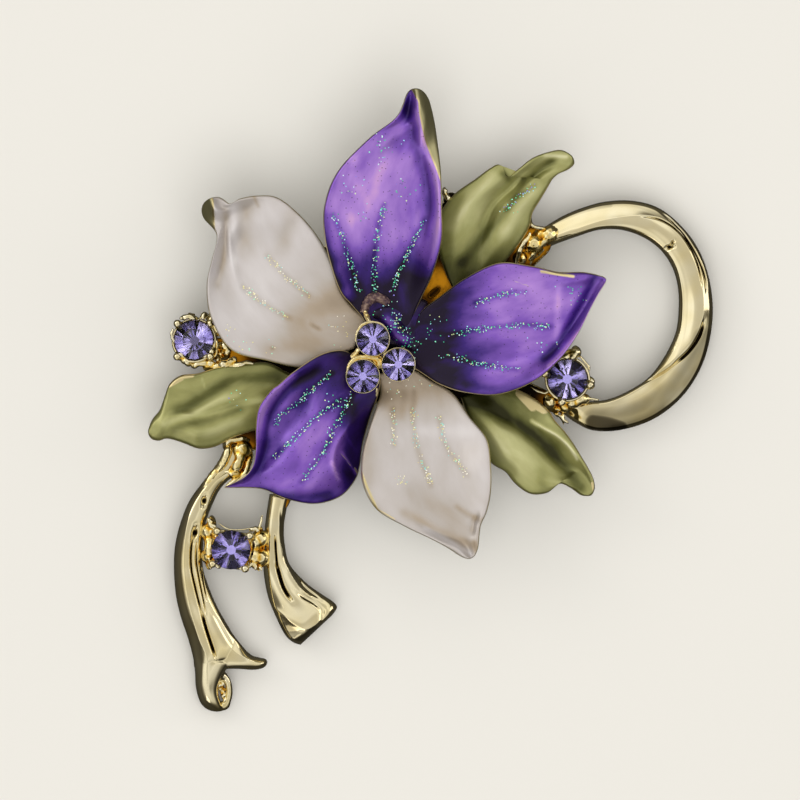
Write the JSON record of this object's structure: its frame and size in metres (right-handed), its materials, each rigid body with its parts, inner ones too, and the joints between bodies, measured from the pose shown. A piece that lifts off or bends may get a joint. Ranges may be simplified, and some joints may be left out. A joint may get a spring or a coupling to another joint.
{
  "type": "flower brooch",
  "caption": "Gold-plated flower brooch with purple and pearl petals, green leaves, a looped ribbon with two tails and violet stones, lying on its bar pin.",
  "frame": {"origin": "on the surface that the brooch lies on, under the middle of its box", "axes": "+Z out of the flower's face, +Y towards the top petal's tip, +X towards the ribbon's loop"},
  "size_m": [0.0566, 0.0624, 0.0128],
  "materials": {
    "gold": "pale gold plate, polished",
    "purple_enamel": "translucent purple enamel over metal, glossy",
    "pearl_enamel": "pearl white enamel, satin gloss",
    "green_enamel": "olive green enamel over brushed metal, satin",
    "violet_stone": "violet cut glass with a foiled back"
  },
  "bodies": {
    "root": {"ribbon_frame": "gold", "leaf_upper": "green_enamel", "leaf_left": "green_enamel", "leaf_lower": "green_enamel", "petal_purple_top": "purple_enamel", "petal_purple_right": "purple_enamel", "petal_purple_lower": "purple_enamel", "petal_pearl_left": "pearl_enamel", "petal_pearl_lower": "pearl_enamel", "centre_cups": "gold", "stone_centre_1": "violet_stone", "stone_centre_2": "violet_stone", "stone_centre_3": "violet_stone", "stone_left": "violet_stone", "stone_right": "violet_stone", "stone_tail": "violet_stone", "pin_back": "gold"}
  },
  "joints": []
}
